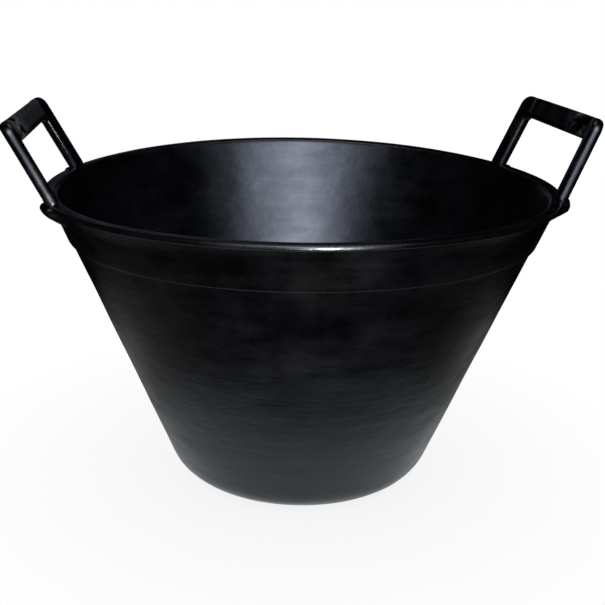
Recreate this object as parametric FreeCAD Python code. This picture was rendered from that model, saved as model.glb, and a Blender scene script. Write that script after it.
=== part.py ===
"""Mortar mixing tub: a conical rubber tub with two nylon carrying handles.

Units are millimetres. The origin is the centre of the underside, +Z is up, and the handles
stand on +X and -X. Each handle has barbed feet that are pushed into pockets in the rubber rim.
"""

import FreeCAD, Part
import math
import os

Vector = FreeCAD.Vector
ORIGIN = Vector(0, 0, 0)
ALONG = Vector(1, 0, 0)             # from the tub's axis towards the right handle
ACROSS = Vector(0, 1, 0)
AXIS = Vector(0, 0, 1)

# ---- Driving dimensions ---------------------------------------------------------------------
RIM_RADIUS = 200.0          # outer edge of the lip
TUB_HEIGHT = 238.4          # floor to the top of the lip
FOOT_RADIUS = 102.2         # where the outer wall line would meet the floor
WALL_ANGLE = 21.28          # degrees from vertical
WALL_THICKNESS = 5.0        # square to the wall
FLOOR_THICKNESS = 6.0
CORNER_RADIUS = 28.0        # outside rounding between the wall and the floor

# Underside: a shallow hollow leaves a standing ring
HOLLOW_RADIUS = 62.0
HOLLOW_DEPTH = 1.6
HOLLOW_SLOPE = 2.0          # how much wider the hollow is at the floor than at its ceiling
HOLLOW_ROUNDING = 1.0

# Rim band: the top of the wall is thicker, with a small ledge where it starts
LEDGE_HEIGHT = 203.5
LEDGE_STEP = 1.4            # how far the band stands out
LEDGE_ROUNDING = 0.6

# Lip
LIP_HEIGHT = 3.8
LIP_OUTER_ROUNDING = 1.6
LIP_LOWER_ROUNDING = 1.2
LIP_INNER_ROUNDING = 3.0
LIP_ROOT_FILLET = 2.5

# Handle, drawn upright in its own plane and then leant outwards
HANDLE_TILT = 25.5          # degrees from vertical
HANDLE_REACH = 183.9        # tub axis to the handle's middle plane, at rim height
LEG_SPREAD_FOOT = 71.4      # handle's middle to a leg's middle, at the rim
LEG_SPREAD_TOP = 68.1       # the same at the top of the grip
LEG_WIDTH = 15.2
LEG_TURN = 14.5             # degrees that a leg turns about itself, to follow the rim
GRIP_HEIGHT = 17.7
OPENING_HEIGHT = 46.4       # rim to the underside of the grip
HANDLE_THICKNESS = 9.0
EDGE_ROUNDING = 3.0         # along the long edges of the grip and the legs
OUTER_CORNER = 10.0
INNER_CORNER = 4.0
LEG_TOP_ROUNDING = 2.0

# Neck and barb under each leg
SEAT_DEPTH = 3.0            # how far the leg itself sinks into the rubber
NECK_DEPTH = 7.5            # rim to the barb's shoulders
NECK_WIDTH = 7.0
BARB_DEPTH = 14.0           # rim to the barb's tip
BARB_WIDTH = 13.0
BARB_TIP_WIDTH = 6.0
BARB_THICKNESS = 6.0

# Rubber lug around each foot
LUG_HALF_ANGLE = 3.7        # degrees round the rim
LUG_PROUD = 10.4            # rubber outside the middle of the leg
LUG_ROOT = 2.5              # how far the lug starts inside the middle of the leg
LUG_FACE_HEIGHT = 9.0       # height of its outer face
LUG_HEIGHT = 16.0           # down to where its underside meets the wall
LUG_OVERLAP = 2.0           # how far the lug's root runs into the wall
LUG_ROUNDING = 3.5

# ---- Values worked out from the driving dimensions ---------------------------------------------
WALL_SLOPE = math.tan(math.radians(WALL_ANGLE))
WALL_RUN = WALL_THICKNESS / math.cos(math.radians(WALL_ANGLE))
LEAN = math.radians(HANDLE_TILT)
HANDLE_TOP = OPENING_HEIGHT + GRIP_HEIGHT
LEG_SPLAY = math.atan((LEG_SPREAD_FOOT - LEG_SPREAD_TOP) / HANDLE_TOP)
SAME = 1e-6                 # two lengths or angles closer than this count as equal


def wall_radius(z):
    """Outer radius of the wall at height z, the upper band's step included."""
    step = LEDGE_STEP if z > LEDGE_HEIGHT else 0.0
    return FOOT_RADIUS + WALL_SLOPE * z + step


def rounded_wire(corners, place):
    """Closed wire of straight runs through corners (a, b, rounding), with a tangent arc at each.

    place turns the flat pair (a, b) into a point in space.
    """
    edges = []
    count = len(corners)
    cuts = []
    for i, (a, b, rounding) in enumerate(corners):
        before = corners[i - 1]
        after = corners[(i + 1) % count]
        here = flat(a, b)
        back = (flat(before[0], before[1]) - here).normalize()
        ahead = (flat(after[0], after[1]) - here).normalize()
        if rounding == 0:
            cuts.append((here, None, here))
            continue
        half = back.getAngle(ahead) / 2
        reach = rounding / math.tan(half)
        centre = here + (back + ahead).normalize() * (rounding / math.sin(half))
        middle = centre + (here - centre).normalize() * rounding
        cuts.append((here + back * reach, middle, here + ahead * reach))
    for i, (start, middle, end) in enumerate(cuts):
        if middle is not None:
            points = [place(p.x, p.y) for p in (start, middle, end)]
            edges.append(Part.Arc(*points).toShape())
        after = cuts[(i + 1) % count][0]
        if (after - end).Length > SAME:
            run = Part.LineSegment(place(end.x, end.y), place(after.x, after.y))
            edges.append(run.toShape())
    return Part.Wire(edges)


def radial(a, b):
    """Flat pair (radius, height) as a point in the XZ plane."""
    return Vector(a, 0, b)


def in_plane(a, b):
    """Flat pair (across, up the handle) as a point in the handle's upright plane."""
    return Vector(0, a, b)


def flat(a, b):
    """Flat pair as a point in the level plane."""
    return Vector(a, b, 0)


# ---- Tub -------------------------------------------------------------------------------------
def inner_radius(z):
    """Radius of the tub's smooth inside at height z."""
    return FOOT_RADIUS + WALL_SLOPE * z - WALL_RUN


def tub_shell():
    """The tub without its lugs: one profile turned about the axis."""
    lip_root = TUB_HEIGHT - LIP_HEIGHT
    under_ledge = FOOT_RADIUS + WALL_SLOPE * LEDGE_HEIGHT
    outside = [
        (0, HOLLOW_DEPTH, 0),
        (HOLLOW_RADIUS, HOLLOW_DEPTH, HOLLOW_ROUNDING),
        (HOLLOW_RADIUS + HOLLOW_SLOPE, 0, HOLLOW_ROUNDING),
        (FOOT_RADIUS, 0, CORNER_RADIUS),
        (under_ledge, LEDGE_HEIGHT, LEDGE_ROUNDING),
        (under_ledge + LEDGE_STEP, LEDGE_HEIGHT, LEDGE_ROUNDING),
        (wall_radius(lip_root), lip_root, LIP_ROOT_FILLET),
        (RIM_RADIUS, lip_root, LIP_LOWER_ROUNDING),
        (RIM_RADIUS, TUB_HEIGHT, LIP_OUTER_ROUNDING),
    ]
    inside = [
        (inner_radius(TUB_HEIGHT), TUB_HEIGHT, LIP_INNER_ROUNDING),
        (inner_radius(FLOOR_THICKNESS), FLOOR_THICKNESS, CORNER_RADIUS - WALL_THICKNESS),
        (0, FLOOR_THICKNESS, 0),
    ]
    face = Part.Face(rounded_wire(outside + inside, radial))
    return face.revolve(ORIGIN, AXIS, 360)


def leg_radius(drop):
    """Distance from the tub's axis to the middle of a leg, at a depth below the rim."""
    return math.hypot(HANDLE_REACH - drop * math.tan(LEAN), LEG_SPREAD_FOOT)


def lug():
    """One rubber lug, centred on a leg's foot at the +X, +Y corner of the rim."""
    outer = leg_radius(0) + LUG_PROUD
    face_foot = TUB_HEIGHT - LUG_FACE_HEIGHT
    root = wall_radius(TUB_HEIGHT - LUG_HEIGHT) - LUG_OVERLAP
    section = [
        (leg_radius(0) - LUG_ROOT, TUB_HEIGHT, 0),
        (outer, TUB_HEIGHT, LUG_ROUNDING),
        (leg_radius(LUG_FACE_HEIGHT) + LUG_PROUD, face_foot, LUG_ROUNDING),
        (root, TUB_HEIGHT - LUG_HEIGHT, 0),
        (root, face_foot, 0),
    ]
    face = Part.Face(rounded_wire(section, radial))
    azimuth = math.degrees(math.atan2(LEG_SPREAD_FOOT, HANDLE_REACH))
    face.rotate(ORIGIN, AXIS, azimuth - LUG_HALF_ANGLE)
    solid = face.revolve(ORIGIN, AXIS, 2 * LUG_HALF_ANGLE)
    outer_side_edges = [edge for edge in solid.Edges if is_on_side(edge, leg_radius(0))]
    return solid.makeFillet(LUG_ROUNDING, outer_side_edges)


def is_on_side(edge, beyond):
    """Whether an edge keeps one azimuth, as on a lug's side face, and lies beyond a radius."""
    points = edge.discretize(5)
    azimuths = [math.atan2(p.y, p.x) for p in points]
    middle = points[2]
    return max(azimuths) - min(azimuths) < SAME and math.hypot(middle.x, middle.y) > beyond


def tub_body(handles):
    """The rubber moulding, with a lug and a pocket for each of the handles' four feet."""
    body = tub_shell()
    for across in (1, -1):
        for turn in (0, 180):
            piece = lug()
            if across < 0:
                piece = piece.mirror(ORIGIN, ACROSS)
            piece.rotate(ORIGIN, AXIS, turn)
            body = body.fuse(piece)
    body = body.removeSplitter()
    for handle in handles:
        body = body.cut(handle)
    return body


# ---- Handle ----------------------------------------------------------------------------------
def plate(corners, thickness):
    """An outline in the handle's plane, given a thickness with the plane in its middle."""
    face = Part.Face(rounded_wire(corners, in_plane))
    face.translate(ALONG * (-thickness / 2))
    return face.extrude(ALONG * thickness)


def mirrored(corners):
    """The same corners on the other half of an outline, in the order that goes on round it."""
    return [(-a, b, rounding) for a, b, rounding in reversed(corners)]


def grip():
    """The straight bar that joins the legs, rounded along all its long edges."""
    half = LEG_SPREAD_TOP + LEG_WIDTH / 2
    side = [
        (half, OPENING_HEIGHT, INNER_CORNER),
        (half, HANDLE_TOP, OUTER_CORNER),
    ]
    solid = plate(side + mirrored(side), HANDLE_THICKNESS)
    long_edges = [edge for edge in solid.Edges if edge.BoundBox.XLength < SAME]
    return solid.makeFillet(EDGE_ROUNDING, long_edges)


def bar():
    """A leg's plain bar: a rounded section run from inside the rubber to the middle of the grip."""
    x = HANDLE_THICKNESS / 2
    y = LEG_WIDTH / 2
    corners = [
        (x, -y, EDGE_ROUNDING),
        (x, y, EDGE_ROUNDING),
        (-x, y, EDGE_ROUNDING),
        (-x, -y, EDGE_ROUNDING),
    ]
    length = SEAT_DEPTH + OPENING_HEIGHT + GRIP_HEIGHT / 2
    face = Part.Face(rounded_wire(corners, flat))
    face.translate(AXIS * -SEAT_DEPTH)
    solid = face.extrude(AXIS * length)
    top_edges = [edge for edge in solid.Edges if edge.BoundBox.ZMin > OPENING_HEIGHT]
    return solid.makeFillet(LEG_TOP_ROUNDING, top_edges)


def anchor():
    """Neck and barb under a leg, which the rubber grips."""
    neck = NECK_WIDTH / 2
    barb = BARB_WIDTH / 2
    tip = BARB_TIP_WIDTH / 2
    side = [
        (neck, -SEAT_DEPTH, 0),
        (neck, -NECK_DEPTH, 0),
        (barb, -NECK_DEPTH, 0),
        (tip, -BARB_DEPTH, 0),
    ]
    return plate(side + mirrored(side), BARB_THICKNESS)


def leg():
    """One leg, upright about its own axis, with its anchor."""
    return bar().fuse(anchor())


def handle(turn):
    """One nylon handle leant outwards over the +X side of the rim, then turned about the axis."""
    solid = grip()
    for side in (1, -1):
        one_leg = leg()
        one_leg.rotate(ORIGIN, AXIS, side * LEG_TURN)
        one_leg.rotate(ORIGIN, ALONG, side * math.degrees(LEG_SPLAY))
        one_leg.translate(ACROSS * (side * LEG_SPREAD_FOOT))
        solid = solid.fuse(one_leg)
    solid = solid.removeSplitter()
    solid.rotate(ORIGIN, ACROSS, HANDLE_TILT)
    solid.translate(ALONG * HANDLE_REACH + AXIS * TUB_HEIGHT)
    solid.rotate(ORIGIN, AXIS, turn)
    return solid


# ---- Export ------------------------------------------------------------------------------------
def report(name, shape):
    """One line on a finished piece."""
    box = shape.optimalBoundingBox(False, False)
    print(f"{name}: solids {len(shape.Solids)}, valid {shape.isValid()},",
          f"volume {shape.Volume / 1000:.1f} cm3,",
          f"box {box.XLength:.1f} x {box.YLength:.1f} x {box.ZLength:.1f},",
          f"z {box.ZMin:.1f} to {box.ZMax:.1f}")


def main():
    os.makedirs("parts", exist_ok=True)
    handle_right = handle(0)
    handle_left = handle(180)
    pieces = {
        "tub_body": tub_body([handle_right, handle_left]),
        "handle_right": handle_right,
        "handle_left": handle_left,
    }
    for name, shape in pieces.items():
        shape.exportStep(f"parts/{name}.step")
        report(name, shape)


main()
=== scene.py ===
"""Mortar mixing tub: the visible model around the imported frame, with its floor, lights and camera.

Everything is in metres in the frame's own axes: +Z up, the handles on +X and -X, the viewer on -Y.
"""

import math

import bmesh
import bpy
from mathutils import Matrix, Vector, noise


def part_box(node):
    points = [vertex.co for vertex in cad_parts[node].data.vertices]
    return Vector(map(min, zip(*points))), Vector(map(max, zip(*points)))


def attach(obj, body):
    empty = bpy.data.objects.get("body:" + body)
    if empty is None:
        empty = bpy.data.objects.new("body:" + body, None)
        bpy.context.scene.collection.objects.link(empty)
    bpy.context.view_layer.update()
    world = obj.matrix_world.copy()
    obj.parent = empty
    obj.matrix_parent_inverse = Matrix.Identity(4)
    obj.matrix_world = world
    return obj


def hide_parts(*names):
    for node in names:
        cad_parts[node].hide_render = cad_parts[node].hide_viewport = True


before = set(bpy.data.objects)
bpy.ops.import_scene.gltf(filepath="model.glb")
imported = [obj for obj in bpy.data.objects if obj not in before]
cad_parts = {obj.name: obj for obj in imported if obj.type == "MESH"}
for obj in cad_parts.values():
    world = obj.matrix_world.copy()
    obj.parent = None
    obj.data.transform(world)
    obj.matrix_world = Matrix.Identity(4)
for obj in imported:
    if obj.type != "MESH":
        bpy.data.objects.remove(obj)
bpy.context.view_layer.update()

# ---- Sizes, worked out from the frame -----------------------------------------------------------
TUB_LOW, TUB_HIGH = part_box("tub_body")
RIM_RADIUS = (TUB_HIGH.y - TUB_LOW.y) / 2
TUB_HEIGHT = TUB_HIGH.z
MM = RIM_RADIUS / 200

WALL_ANGLE = math.radians(21.28)
WALL_SLOPE = math.tan(WALL_ANGLE)
WALL_THICKNESS = 5.0 * MM              # square to the wall
WALL_RUN = WALL_THICKNESS / math.cos(WALL_ANGLE)
FLOOR_THICKNESS = 6.0 * MM
CORNER_RADIUS = 28.0 * MM
INNER_CORNER_RADIUS = CORNER_RADIUS - WALL_THICKNESS
HOLLOW_RADIUS = 62.0 * MM
HOLLOW_SLOPE = 2.0 * MM
HOLLOW_DEPTH = 1.6 * MM
HOLLOW_TOP_ROUNDING = 1.5 * MM
HOLLOW_FOOT_ROUNDING = 1.0 * MM

LEDGE_STEP = 1.8 * MM                  # how far the band under the lip stands out
LEDGE_DROP = 34.9 * MM
LEDGE_HEIGHT = TUB_HEIGHT - LEDGE_DROP
LEDGE_ROUNDING = 1.2 * MM
FOOT_RADIUS = 102.2 * MM

LIP_HEIGHT = 3.8 * MM
LIP_OUTER_ROUNDING = 1.6 * MM
LIP_LOWER_ROUNDING = 1.2 * MM
LIP_INNER_ROUNDING = 5.0 * MM
LIP_ROOT_FILLET = 2.5 * MM
LIP_FLARE_HEIGHT = 7.0 * MM            # the wall leans out further just under the lip
LIP_FLARE_ANGLE = math.radians(31.0)
LIP_FLARE_ROUNDING = 50.0 * MM
RIM_SAG = 2.0 * MM                     # how far the lip dips at the handles, and rises between them

# Each handle's stance is the angle where it stands round the lip, and its lean
RIGHT_STANCE = (math.radians(0.9), math.radians(23.3))
LEFT_STANCE = (math.radians(179.1), math.radians(27.8))
HANDLE_REACH = 183.9 * MM
LEG_SPREAD_FOOT = 71.4 * MM
LEG_SPREAD_TOP = 68.1 * MM
LEG_WIDTH = 15.2 * MM
LEG_TURN = math.radians(14.5)          # about the leg's own axis
GRIP_HEIGHT = 17.7 * MM
OPENING_HEIGHT = 46.4 * MM
HANDLE_TOP = OPENING_HEIGHT + GRIP_HEIGHT
HANDLE_THICKNESS = 9.0 * MM
EDGE_ROUNDING = 3.8 * MM
OUTER_CORNER = 10.0 * MM
INNER_CORNER = 4.0 * MM
SEAT_DEPTH = 3.0 * MM

# Lug: the block of rubber on the lip that holds a leg's foot
LUG_AZIMUTH = math.atan2(LEG_SPREAD_FOOT, HANDLE_REACH)
LUG_HALF_ANGLE = math.radians(3.7)
LUG_SIDE_ANGLE = math.radians(1.3)     # the part of it that its rounded side takes
LUG_PROUD = 9.6 * MM
LUG_FACE_HEIGHT = 7.5 * MM
LUG_FACE_ANGLE = math.radians(25.5)    # its outer face leans as the handles do
LUG_HEIGHT = 16.0 * MM
LUG_ROUNDING = 3.5 * MM
LUG_ROOT_ON_LIP = 3.5 * MM             # where the lug starts on top of the lip, in from its edge

# Fineness of the meshes
WALL_STEP = 4 * MM                     # longest edge up the wall and across the floor
LIP_STEP = 1 * MM
LIP_POINTS = 64                        # up the lip, where it is plain and where it has a lug
FULL_TURN = 2 * math.pi
ALMOST_NONE = 1e-6
PLAIN_TURN = math.radians(1.25)        # between the tub's upright lines
LUG_TURN = math.radians(0.25)          # the same across a lug
LUG_MARGIN = math.radians(1.2)         # how far before a lug the closer lines start
HANDLE_STEP = 40 * MM
VOXEL_SIZE = 0.8 * MM

# Unevenness of the moulded rubber: how wide its waves are, and how far they stand off
BROAD_WAVE = 46 * MM
BROAD_DEPTH = 0.45 * MM
SMALL_WAVE = 13 * MM
SMALL_DEPTH = 0.09 * MM
SMALL_OFFSET = Vector((7.0, 3.0, 1.0))

# ---- Camera, as seen from the front, a little to the left and above ------------------------------
CAMERA_DISTANCE = 3.7348 * RIM_RADIUS
CAMERA_HEIGHT = 1.9597 * RIM_RADIUS
CAMERA_AZIMUTH = math.radians(7.0)
CAMERA_YAW = 0.0014                    # radians, as are the next two
CAMERA_PITCH = 0.3296
CAMERA_ROLL = 0.0177
CAMERA_LENS = 56.98
CAMERA_SENSOR = 36.0

# ---- Light ---------------------------------------------------------------------------------------
COOL_WHITE = (0.72, 0.80, 1.0, 1)      # studio light, a little blue
POOL_WHITE = (0.86, 0.95, 1.0, 1)
PLAIN_WHITE = (1, 1, 1, 1)
TOP_POWER = 1.5                        # watts
LOW_POWER = 1.2
LOW_SPREAD = math.radians(80)          # narrow enough to leave the right handle darker
ROOM_LIGHT = 0.001
BACK_LIGHT = 0.16                      # low down behind the tub, which draws the lip's inner edge
BACK_RISE = (0.0, 0.06)                # upward part of the direction where that light starts
BACK_FALL = (0.14, 0.28)               # and where it fades
BACK_SIDES = (0.95, 0.99)              # backward part of the direction where it starts
FRONT_LIGHT = 14.0                     # at the middle of the soft light beside the camera
FRONT_FOCUS = 15.0                     # power of the cosine that it fades with, away from its middle
FRONT_AZIMUTH = math.radians(3.0)
FRONT_ELEVATION = math.radians(27.0)
FRONT_DIRECTION = (
    -math.sin(FRONT_AZIMUTH) * math.cos(FRONT_ELEVATION),
    -math.cos(FRONT_AZIMUTH) * math.cos(FRONT_ELEVATION),
    math.sin(FRONT_ELEVATION),
)
FLOOR_HALF_SIDE = 60 * RIM_RADIUS
POOL_INNER = 0.55 * RIM_RADIUS
POOL_OUTER = 1.18 * RIM_RADIUS
POOL_FRONT = 0.85                      # the pool's light in front of the tub, and behind it
POOL_BACK = 0.2
POOL_TURN = (-0.8 * RIM_RADIUS, 0.3 * RIM_RADIUS)      # where the front's light gives way to the back's
FLOOR_LIGHT = 0.24                     # the floor's light behind the tub, which fades further off
FLOOR_NEAR = 1.1 * RIM_RADIUS
FLOOR_FAR = 2.2 * RIM_RADIUS
FLOOR_TURN = (-1.2 * RIM_RADIUS, 0.5 * RIM_RADIUS)     # where it rises, from front to back
FOOT_SHADE = 0.85                      # how white the floor stays right beside the tub


# ---- Outlines ------------------------------------------------------------------------------------
def rounded_path(corners, closed, straight_step, arc_points=8):
    """Points along straight runs through corners (a, b, rounding), with each corner turned as an arc."""
    count = len(corners)
    points = []
    for i, (a, b, rounding) in enumerate(corners):
        here = Vector((a, b))
        at_end = not closed and i in (0, count - 1)
        if at_end or rounding == 0:
            points.append(here)
            continue
        back = (Vector(corners[i - 1][:2]) - here).normalized()
        ahead = (Vector(corners[(i + 1) % count][:2]) - here).normalized()
        half = back.angle(ahead) / 2
        reach = rounding / math.tan(half)
        centre = here + (back + ahead).normalized() * (rounding / math.sin(half))
        start = here + back * reach - centre
        turn = start.angle_signed(here + ahead * reach - centre)
        for k in range(arc_points + 1):
            angle = -turn * k / arc_points
            points.append(centre + Matrix.Rotation(angle, 2) @ start)
    return subdivided(points, closed, straight_step)


def subdivided(points, closed, step):
    """The same path with extra points on every run longer than step."""
    out = []
    last = len(points) if closed else len(points) - 1
    for i in range(last):
        start = points[i]
        end = points[(i + 1) % len(points)]
        pieces = max(1, math.ceil((end - start).length / step))
        out += [start.lerp(end, k / pieces) for k in range(pieces)]
    if not closed:
        out.append(points[-1])
    return out


def resampled(path, count):
    """The path as count points evenly spaced along it."""
    lengths = [0.0]
    for start, end in zip(path, path[1:]):
        lengths.append(lengths[-1] + (end - start).length)
    out = []
    segment = 0
    for k in range(count):
        target = lengths[-1] * k / (count - 1)
        while segment < len(path) - 2 and lengths[segment + 1] < target:
            segment += 1
        span = lengths[segment + 1] - lengths[segment]
        out.append(path[segment].lerp(path[segment + 1], (target - lengths[segment]) / span))
    return out


def smoothstep(low, high, value):
    """0 below low, 1 above high, and a smooth rise between."""
    t = min(1.0, max(0.0, (value - low) / (high - low)))
    return t * t * (3 - 2 * t)


# ---- Tub -----------------------------------------------------------------------------------------
def wall_radius(z):
    """Outer radius of the wall at height z, the upper band's step included."""
    step = LEDGE_STEP if z > LEDGE_HEIGHT else 0.0
    return FOOT_RADIUS + WALL_SLOPE * z + step


def tub_sections():
    """The tub's section in three stretches: underside and wall, lip (plain and with a lug), inside."""
    lip_root = TUB_HEIGHT - LIP_HEIGHT
    lug_root = TUB_HEIGHT - LUG_HEIGHT
    lip_top = RIM_RADIUS - LUG_ROOT_ON_LIP
    below = rounded_path([
        (0.0, HOLLOW_DEPTH, 0),
        (HOLLOW_RADIUS, HOLLOW_DEPTH, HOLLOW_TOP_ROUNDING),
        (HOLLOW_RADIUS + HOLLOW_SLOPE, 0.0, HOLLOW_FOOT_ROUNDING),
        (FOOT_RADIUS, 0.0, CORNER_RADIUS),
        (wall_radius(LEDGE_HEIGHT), LEDGE_HEIGHT, LEDGE_ROUNDING),
        (wall_radius(LEDGE_HEIGHT) + LEDGE_STEP, LEDGE_HEIGHT, LEDGE_ROUNDING),
        (wall_radius(lug_root), lug_root, 0),
    ], False, WALL_STEP)
    flare_foot = lip_root - LIP_FLARE_HEIGHT
    flare_top = wall_radius(flare_foot) + LIP_FLARE_HEIGHT * math.tan(LIP_FLARE_ANGLE)
    plain_lip = rounded_path([
        (wall_radius(lug_root), lug_root, 0),
        (wall_radius(flare_foot), flare_foot, LIP_FLARE_ROUNDING),
        (flare_top, lip_root, LIP_ROOT_FILLET),
        (RIM_RADIUS, lip_root, LIP_LOWER_ROUNDING),
        (RIM_RADIUS, TUB_HEIGHT, LIP_OUTER_ROUNDING),
        (lip_top, TUB_HEIGHT, 0),
    ], False, LIP_STEP)
    face_top = math.hypot(HANDLE_REACH, LEG_SPREAD_FOOT) + LUG_PROUD
    face_low = face_top - LUG_FACE_HEIGHT * math.tan(LUG_FACE_ANGLE)
    lug_lip = rounded_path([
        (wall_radius(lug_root), lug_root, 0),
        (face_low, TUB_HEIGHT - LUG_FACE_HEIGHT, LUG_ROUNDING),
        (face_top, TUB_HEIGHT, LUG_ROUNDING),
        (lip_top, TUB_HEIGHT, 0),
    ], False, LIP_STEP)
    inside = rounded_path([
        (lip_top, TUB_HEIGHT, 0),
        (wall_radius(TUB_HEIGHT) - LEDGE_STEP - WALL_RUN, TUB_HEIGHT, LIP_INNER_ROUNDING),
        (wall_radius(FLOOR_THICKNESS) - WALL_RUN, FLOOR_THICKNESS, INNER_CORNER_RADIUS),
        (0.0, FLOOR_THICKNESS, 0),
    ], False, WALL_STEP)
    return below, resampled(plain_lip, LIP_POINTS), resampled(lug_lip, LIP_POINTS), inside


def lug_share(angle):
    """1 where the lip has a lug, 0 where it is plain, with a smooth change at the lug's sides."""
    handles = (RIGHT_STANCE[0], LEFT_STANCE[0])
    lugs = [azimuth + side * LUG_AZIMUTH for azimuth in handles for side in (1, -1)]
    off = min(abs((angle - lug + math.pi) % FULL_TURN - math.pi) for lug in lugs)
    return 1 - smoothstep(LUG_HALF_ANGLE - LUG_SIDE_ANGLE, LUG_HALF_ANGLE, off)


def ring_angles():
    """Angles of the tub's upright lines, closer together across each lug."""
    angles = []
    angle = 0.0
    while angle < FULL_TURN - ALMOST_NONE:
        angles.append(angle)
        near = lug_share(angle) > 0 or lug_share(angle + LUG_MARGIN) > 0
        angle += LUG_TURN if near else PLAIN_TURN
    return angles


def rubber_unevenness(point):
    """How far the moulded surface stands off its true shape."""
    broad = noise.noise(point / BROAD_WAVE) * BROAD_DEPTH
    small = noise.noise(point / SMALL_WAVE + SMALL_OFFSET) * SMALL_DEPTH
    return broad + small


def tub_point(radius, z, angle):
    """A point of the section turned to its angle, with the lip's sag and the surface's unevenness."""
    up = smoothstep(0.0, TUB_HEIGHT, z)
    sag = -RIM_SAG * math.cos(2 * angle) * up * up
    outward = Vector((math.cos(angle), math.sin(angle), 0.0))
    point = outward * radius + Vector((0, 0, z + sag))
    if radius > 0 and z > CORNER_RADIUS / 4:
        point += outward * rubber_unevenness(point)
    return point


def make_tub():
    """The rubber moulding as one closed mesh: its section turned about the axis, lugs included."""
    below, plain_lip, lug_lip, inside = tub_sections()
    mesh = bmesh.new()
    rings = []
    low_pole = mesh.verts.new((0, 0, HOLLOW_DEPTH))
    high_pole = mesh.verts.new((0, 0, FLOOR_THICKNESS))
    for angle in ring_angles():
        share = lug_share(angle)
        lip = [a.lerp(b, share) for a, b in zip(plain_lip, lug_lip)]
        section = below[1:] + lip[1:] + inside[1:-1]
        rings.append([mesh.verts.new(tub_point(p.x, p.y, angle)) for p in section])
    for ring, after in zip(rings, rings[1:] + rings[:1]):
        mesh.faces.new((low_pole, after[0], ring[0]))
        mesh.faces.new((high_pole, ring[-1], after[-1]))
        for i in range(len(ring) - 1):
            mesh.faces.new((ring[i], after[i], after[i + 1], ring[i + 1]))
    return finished("tub_moulding", mesh)


def finished(name, mesh):
    """A smooth-shaded object in the scene from a bmesh."""
    bmesh.ops.recalc_face_normals(mesh, faces=mesh.faces)
    data = bpy.data.meshes.new(name)
    mesh.to_mesh(data)
    mesh.free()
    data.shade_smooth()
    piece = bpy.data.objects.new(name, data)
    bpy.context.scene.collection.objects.link(piece)
    return piece


# ---- Handles -------------------------------------------------------------------------------------
def mirrored(corners):
    """The same corners on the other half of the frame, in the order that goes on round it."""
    return [(-a, b, rounding) for a, b, rounding in reversed(corners)]


def grip_outline():
    """The U of the grip and the two legs, seen square on, with the legs still square to it."""
    half = LEG_WIDTH / 2
    outside = [
        (LEG_SPREAD_FOOT + half, -SEAT_DEPTH, 0),
        (LEG_SPREAD_TOP + half, HANDLE_TOP, OUTER_CORNER),
    ]
    inside = [
        (leg_middle(OPENING_HEIGHT) - half, OPENING_HEIGHT, INNER_CORNER),
        (LEG_SPREAD_FOOT - half, -SEAT_DEPTH, 0),
    ]
    corners = outside + mirrored(outside) + mirrored(inside) + inside
    return rounded_path(corners, True, HANDLE_STEP)


def leg_middle(z):
    """How far the middle of a leg is from the handle's middle at a height above the rim."""
    return LEG_SPREAD_FOOT + (LEG_SPREAD_TOP - LEG_SPREAD_FOOT) * z / HANDLE_TOP


def prism(name, outline, thickness, place):
    """A closed solid: an outline given a thickness, each flat point put in place by a function."""
    mesh = bmesh.new()
    near = [mesh.verts.new(place(p, -thickness / 2)) for p in outline]
    far = [mesh.verts.new(place(p, thickness / 2)) for p in outline]
    mesh.faces.new(near)
    mesh.faces.new(reversed(far))
    for i in range(len(outline)):
        after = (i + 1) % len(outline)
        mesh.faces.new((near[i], far[i], far[after], near[after]))
    return finished(name, mesh)


def turn_legs(piece):
    """Turns each leg about its own axis, so that its outer edge comes nearer to the tub.

    The turn fades away along the grip, over the width of one leg.
    """
    half = LEG_WIDTH / 2
    for vertex in piece.data.vertices:
        x, y, z = vertex.co
        side = math.copysign(1.0, y)
        off = abs(y) - leg_middle(z)
        turn = LEG_TURN * smoothstep(-3 * half, -half, off)
        arm = max(off, -half)
        turned_x = x * math.cos(turn) - arm * math.sin(turn)
        turned_off = off + x * math.sin(turn) + arm * (math.cos(turn) - 1)
        vertex.co = (turned_x, side * (leg_middle(z) + turned_off), z)


def apply_modifier(piece, kind, **settings):
    """Adds a modifier to a piece, sets it up and applies it."""
    modifier = piece.modifiers.new(kind.lower(), kind)
    for key, value in settings.items():
        setattr(modifier, key, value)
    with bpy.context.temp_override(object=piece, active_object=piece, selected_objects=[piece]):
        bpy.ops.object.modifier_apply(modifier=modifier.name)


def make_handle(name, azimuth, tilt):
    """One nylon handle: its frame with rounded edges and turned legs, leant out over the lip."""
    piece = prism(name, grip_outline(), HANDLE_THICKNESS, lambda p, depth: Vector((depth, p.x, p.y)))
    apply_modifier(piece, "BEVEL", width=EDGE_ROUNDING, segments=5, limit_method="ANGLE",
                   angle_limit=math.radians(50))
    apply_modifier(piece, "REMESH", mode="VOXEL", voxel_size=VOXEL_SIZE, use_smooth_shade=True)
    apply_modifier(piece, "SMOOTH", factor=0.5, iterations=4)
    turn_legs(piece)
    dip = Vector((HANDLE_REACH, 0, TUB_HEIGHT - RIM_SAG * math.cos(2 * LUG_AZIMUTH)))
    lean = Matrix.Rotation(tilt, 4, "Y")
    piece.data.transform(Matrix.Rotation(azimuth, 4, "Z") @ Matrix.Translation(dip) @ lean)
    return piece


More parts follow.
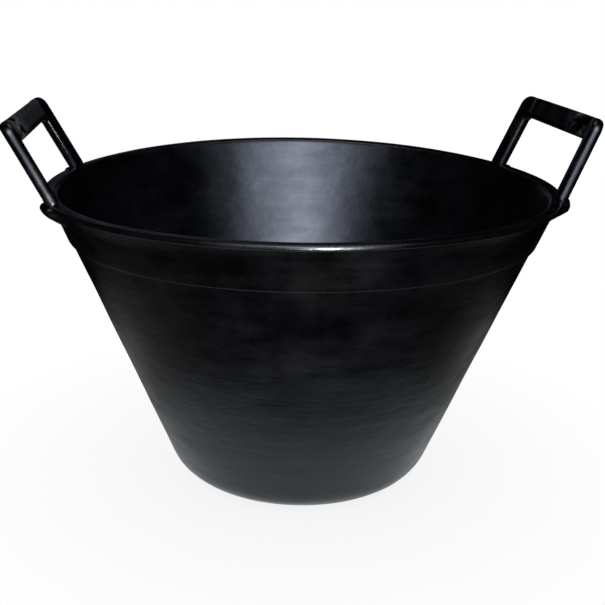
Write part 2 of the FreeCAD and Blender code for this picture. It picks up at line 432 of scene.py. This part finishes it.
# ---- Materials -----------------------------------------------------------------------------------
RUBBER_BLACK = (0.0003, 0.0003, 0.0004, 1)
RUBBER_PALE = (0.0014, 0.0013, 0.0016, 1)
RUBBER_STRETCH = (0.45, 0.45, 2.2)     # makes its streaks long and level
RUBBER_SPECULAR = 0.42
NYLON_BLACK = (0.0004, 0.0004, 0.0005, 1)
NYLON_PALE = (0.004, 0.004, 0.0042, 1)
NYLON_SPECULAR = 0.4
# Painted highlight: grey flecks at the nearer end of each grip stand in for the sheen that the light draws
# there
PAINTED_SHEEN_GREY = (0.075, 0.075, 0.078, 1)
PAINTED_SHEEN_FLECKS = (0.42, 0.62)             # values of the noise between which the grey comes in
PAINTED_SHEEN_CORE = 0.02 * RIM_RADIUS
PAINTED_SHEEN_REACH = 0.14 * RIM_RADIUS
# Middle of the patch of painted highlight on a grip, by the size of each coordinate; it is only at the
# nearer end
PAINTED_SHEEN_PLACE = (1.03 * RIM_RADIUS, 0.22 * RIM_RADIUS, TUB_HEIGHT + 0.25 * RIM_RADIUS)
PAINTED_SHEEN_END = (-0.2 * RIM_RADIUS, 0.0)


def node_maker(tree):
    """A function that adds a node to a tree: its inputs are linked from sockets or set to values."""
    def node(kind, inputs=None, **settings):
        made = tree.nodes.new(kind)
        for key, value in settings.items():
            setattr(made, key, value)
        for socket, value in (inputs or {}).items():
            if isinstance(value, bpy.types.NodeSocket):
                tree.links.new(value, made.inputs[socket])
            else:
                made.inputs[socket].default_value = value
        return made

    return node


def ramp(tree, value, old, new):
    """A smooth change of a value from one pair of numbers to another."""
    made = tree.nodes.new("ShaderNodeMapRange")
    made.interpolation_type = "SMOOTHSTEP"
    for socket, number in zip(("From Min", "From Max", "To Min", "To Max"), old + new):
        made.inputs[socket].default_value = number
    tree.links.new(value, made.inputs["Value"])
    return made.outputs["Result"]


def noise_value(node, place, scale, detail, roughness):
    """A noise of a given fineness over the piece, as a value from 0 to 1."""
    inputs = {"Vector": place, "Scale": scale, "Detail": detail, "Roughness": roughness}
    return node("ShaderNodeTexNoise", inputs).outputs["Fac"]


def two_tone(node, value, dark, pale):
    """A colour that goes from dark to pale as a value rises; each is (value, colour)."""
    made = node("ShaderNodeValToRGB", {"Fac": value})
    for stop, (position, colour) in zip(made.color_ramp.elements, (dark, pale)):
        stop.position = position
        stop.color = colour
    return made.outputs["Color"]


def new_material(name):
    """A node material with a Principled shader; returns it, its tree, the shader and a node maker."""
    material = bpy.data.materials.new(name)
    material.use_nodes = True
    tree = material.node_tree
    return material, tree, tree.nodes["Principled BSDF"], node_maker(tree)


def rubber_material():
    """Black recycled rubber: a gloss mottled by level streaks and blotches, and a fine grain."""
    material, tree, shader, node = new_material("black_rubber")
    place = node("ShaderNodeTexCoord").outputs["Object"]
    level = node("ShaderNodeMapping", {"Vector": place, "Scale": RUBBER_STRETCH}).outputs["Vector"]
    streaks = noise_value(node, level, scale=34.0, detail=6.0, roughness=0.62)
    blotches = noise_value(node, place, scale=26.0, detail=5.0, roughness=0.6)
    grain = noise_value(node, place, scale=700.0, detail=4.0, roughness=0.6)
    mottle = node("ShaderNodeMath", {0: streaks, 1: blotches}, operation="ADD")
    rough = node("ShaderNodeMapRange", {
        "Value": mottle.outputs[0], "From Min": 0.8, "From Max": 1.2, "To Min": 0.22, "To Max": 0.36,
    })
    tree.links.new(rough.outputs["Result"], shader.inputs["Roughness"])
    tone = two_tone(node, blotches, (0.35, RUBBER_BLACK), (0.7, RUBBER_PALE))
    tree.links.new(tone, shader.inputs["Base Color"])
    fine = node("ShaderNodeBump", {"Height": grain, "Strength": 0.25, "Distance": 0.00015})
    wave = node("ShaderNodeBump", {
        "Height": mottle.outputs[0], "Strength": 0.4, "Distance": 0.0012, "Normal": fine.outputs["Normal"],
    })
    tree.links.new(wave.outputs["Normal"], shader.inputs["Normal"])
    shader.inputs["Specular IOR Level"].default_value = RUBBER_SPECULAR
    return material


def nylon_material():
    """Black nylon: uneven satin with a fine moulded grain, and grey flecks of painted highlight on the
    grip.
    """
    material, tree, shader, node = new_material("black_nylon")
    place = node("ShaderNodeTexCoord").outputs["Object"]
    # This noise gives the nylon's random tone and roughness, and also the flecks of the painted highlight
    tone_and_sheen_noise = noise_value(node, place, scale=75.0, detail=5.0, roughness=0.65)
    grain = noise_value(node, place, scale=900.0, detail=3.0, roughness=0.5)
    tone = two_tone(node, tone_and_sheen_noise, (0.45, NYLON_BLACK), (0.72, NYLON_PALE))
    # Painted highlight: grey flecks at the nearer end of each grip, where the light draws a sheen
    spot = node("ShaderNodeVectorMath", {0: place}, operation="ABSOLUTE").outputs["Vector"]
    away = node("ShaderNodeVectorMath", {0: spot, 1: PAINTED_SHEEN_PLACE}, operation="DISTANCE").outputs["Value"]
    depth = node("ShaderNodeSeparateXYZ", {0: place}).outputs["Y"]
    near_end = ramp(tree, depth, PAINTED_SHEEN_END, (1.0, 0.0))
    near_spot = ramp(tree, away, (PAINTED_SHEEN_CORE, PAINTED_SHEEN_REACH), (1.0, 0.0))
    flecks = ramp(tree, tone_and_sheen_noise, PAINTED_SHEEN_FLECKS, (0.0, 1.0))
    in_reach = node("ShaderNodeMath", {0: near_end, 1: near_spot}, operation="MULTIPLY").outputs[0]
    painted_sheen = node("ShaderNodeMath", {0: in_reach, 1: flecks}, operation="MULTIPLY").outputs[0]
    # The grey of the painted highlight is mixed into the nylon's colour here
    colour = node("ShaderNodeMixRGB", {0: painted_sheen, 1: tone, 2: PAINTED_SHEEN_GREY})
    tree.links.new(colour.outputs["Color"], shader.inputs["Base Color"])
    rough = node("ShaderNodeMapRange", {
        "Value": tone_and_sheen_noise, "From Min": 0.35, "From Max": 0.7, "To Min": 0.2, "To Max": 0.36,
    })
    tree.links.new(rough.outputs["Result"], shader.inputs["Roughness"])
    bump = node("ShaderNodeBump", {"Height": grain, "Strength": 0.3, "Distance": 0.00015})
    tree.links.new(bump.outputs["Normal"], shader.inputs["Normal"])
    shader.inputs["Specular IOR Level"].default_value = NYLON_SPECULAR
    return material


def floor_material():
    """White studio floor: plain white to the eye, with a soft shade at the tub's foot.

    What the tub reflects is a pool of light round its foot and a fainter light on the floor behind.
    """
    material, tree, shader, node = new_material("studio_floor")
    place = node("ShaderNodeTexCoord").outputs["Object"]
    reach = node("ShaderNodeVectorMath", {0: place}, operation="LENGTH").outputs["Value"]
    depth = node("ShaderNodeSeparateXYZ", {0: place}).outputs["Y"]
    pool = ramp(tree, reach, (POOL_INNER, POOL_OUTER), (1.0, 0.0))
    front_share = ramp(tree, depth, POOL_TURN, (POOL_FRONT, POOL_BACK))
    pool_light = node("ShaderNodeMath", {0: pool, 1: front_share}, operation="MULTIPLY").outputs[0]
    far_share = ramp(tree, reach, (FLOOR_NEAR, FLOOR_FAR), (1.0, 0.0))
    back_share = ramp(tree, depth, FLOOR_TURN, (0.0, FLOOR_LIGHT))
    behind = node("ShaderNodeMath", {0: far_share, 1: back_share}, operation="MULTIPLY").outputs[0]
    near_glow = node("ShaderNodeEmission", {"Color": POOL_WHITE, "Strength": pool_light})
    far_glow = node("ShaderNodeEmission", {"Color": PLAIN_WHITE, "Strength": behind})
    glow = node("ShaderNodeAddShader", {0: near_glow.outputs[0], 1: far_glow.outputs[0]})
    shade = node("ShaderNodeAmbientOcclusion", {"Distance": RIM_RADIUS}, samples=8)
    seen = node("ShaderNodeMapRange", {"Value": shade.outputs["AO"], "To Min": FOOT_SHADE, "To Max": 1.0})
    white = node("ShaderNodeEmission", {"Strength": seen.outputs["Result"]})
    in_view = node("ShaderNodeLightPath").outputs["Is Camera Ray"]
    mixed = node("ShaderNodeMixShader", {0: in_view, 1: glow.outputs[0], 2: white.outputs[0]})
    tree.links.new(mixed.outputs[0], tree.nodes["Material Output"].inputs["Surface"])
    tree.nodes.remove(shader)
    return material


# ---- Studio --------------------------------------------------------------------------------------
def make_camera():
    """The camera, on the view's own line, turned by its pitch and roll."""
    data = bpy.data.cameras.new("camera")
    data.lens = CAMERA_LENS
    data.sensor_width = CAMERA_SENSOR
    camera = bpy.data.objects.new("camera", data)
    bpy.context.scene.collection.objects.link(camera)
    spin = Matrix.Rotation(-CAMERA_AZIMUTH, 3, "Z")
    aim = spin @ Matrix.Rotation(-CAMERA_YAW, 3, "Z")
    forward = aim @ Vector((0, math.cos(CAMERA_PITCH), -math.sin(CAMERA_PITCH)))
    right = aim @ Vector((1, 0, 0))
    up = right.cross(forward)
    tilted_right = right * math.cos(CAMERA_ROLL) + up * math.sin(CAMERA_ROLL)
    tilted_up = up * math.cos(CAMERA_ROLL) - right * math.sin(CAMERA_ROLL)
    turn = Matrix((tilted_right, tilted_up, -forward)).transposed()
    where = spin @ Vector((0, -CAMERA_DISTANCE, CAMERA_HEIGHT))
    camera.matrix_world = Matrix.Translation(where) @ turn.to_4x4()
    bpy.context.scene.camera = camera


def make_floor(material):
    """A large flat floor under the tub."""
    mesh = bmesh.new()
    half = FLOOR_HALF_SIDE
    corners = ((-half, -half), (half, -half), (half, half), (-half, half))
    mesh.faces.new([mesh.verts.new((x, y, 0)) for x, y in corners])
    floor = finished("studio_floor", mesh)
    floor.data.materials.append(material)


def area_light(name, place, target, size, power, spread=math.pi):
    """A rectangular soft light aimed at a point; place, target and size are in rim radii."""
    data = bpy.data.lights.new(name, "AREA")
    data.shape = "RECTANGLE"
    data.size = size[0] * RIM_RADIUS
    data.size_y = size[1] * RIM_RADIUS
    data.energy = power
    data.spread = spread
    light = bpy.data.objects.new(name, data)
    bpy.context.scene.collection.objects.link(light)
    light.location = Vector(place) * RIM_RADIUS
    aim = Vector(target) * RIM_RADIUS - light.location
    light.rotation_euler = aim.to_track_quat("-Z", "Y").to_euler()


def make_world():
    """White behind the tub; for its reflections, a dim room with a soft light at the front.

    A second, faint light lies low down behind the tub.
    """
    world = bpy.data.worlds.new("surround")
    bpy.context.scene.world = world
    world.use_nodes = True
    tree = world.node_tree
    node = node_maker(tree)
    direction = node("ShaderNodeTexCoord").outputs["Generated"]
    towards = node("ShaderNodeVectorMath", {0: direction, 1: FRONT_DIRECTION}, operation="DOT_PRODUCT")
    facing = node("ShaderNodeMath", {0: towards.outputs["Value"], 1: 0.0}, operation="MAXIMUM")
    soft = node("ShaderNodeMath", {0: facing.outputs[0], 1: FRONT_FOCUS}, operation="POWER")
    soft_light = {0: soft.outputs[0], 1: FRONT_LIGHT, 2: ROOM_LIGHT}
    front = node("ShaderNodeMath", soft_light, operation="MULTIPLY_ADD")
    axes = node("ShaderNodeSeparateXYZ", {0: direction})
    above = ramp(tree, axes.outputs["Z"], BACK_RISE, (0.0, BACK_LIGHT))
    below = ramp(tree, axes.outputs["Z"], BACK_FALL, (1.0, 0.0))
    behind = ramp(tree, axes.outputs["Y"], BACK_SIDES, (0.0, 1.0))
    band = node("ShaderNodeMath", {0: above, 1: below}, operation="MULTIPLY").outputs[0]
    both = node("ShaderNodeMath", {0: band, 1: behind, 2: front.outputs[0]}, operation="MULTIPLY_ADD")
    room = tree.nodes["Background"]
    room.inputs["Color"].default_value = COOL_WHITE
    tree.links.new(both.outputs[0], room.inputs["Strength"])
    seen = node("ShaderNodeBackground", {"Color": PLAIN_WHITE, "Strength": 1.0})
    in_view = node("ShaderNodeLightPath").outputs["Is Camera Ray"]
    mixed = node("ShaderNodeMixShader", {0: in_view, 1: room.outputs[0], 2: seen.outputs[0]})
    tree.links.new(mixed.outputs[0], tree.nodes["World Output"].inputs["Surface"])


def make_lights():
    """Two faint soft lights, which draw the edges of the lip and of the handles."""
    area_light("top_softbox", place=(0.0, 0.5, 6.0), target=(0.0, 0.0, 1.0), size=(2.5, 2.5),
               power=TOP_POWER)
    area_light("low_softbox", place=(0.1, -3.3, 0.7), target=(-1.0, -0.3, 1.3), size=(0.3, 0.8),
               power=LOW_POWER, spread=LOW_SPREAD)


# ---- Assembly ------------------------------------------------------------------------------------
def fit_piece(piece, node, material):
    """Gives a piece its material and its place in the frame, instead of a CAD node."""
    piece.data.materials.append(material)
    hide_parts(node)
    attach(piece, "root")


def main():
    make_camera()
    make_world()
    make_lights()
    make_floor(floor_material())
    rubber = rubber_material()
    nylon = nylon_material()
    fit_piece(make_tub(), "tub_body", rubber)
    fit_piece(make_handle("right_handle_moulding", *RIGHT_STANCE), "handle_right", nylon)
    fit_piece(make_handle("left_handle_moulding", *LEFT_STANCE), "handle_left", nylon)
    bpy.context.scene.view_settings.view_transform = "Standard"


main()
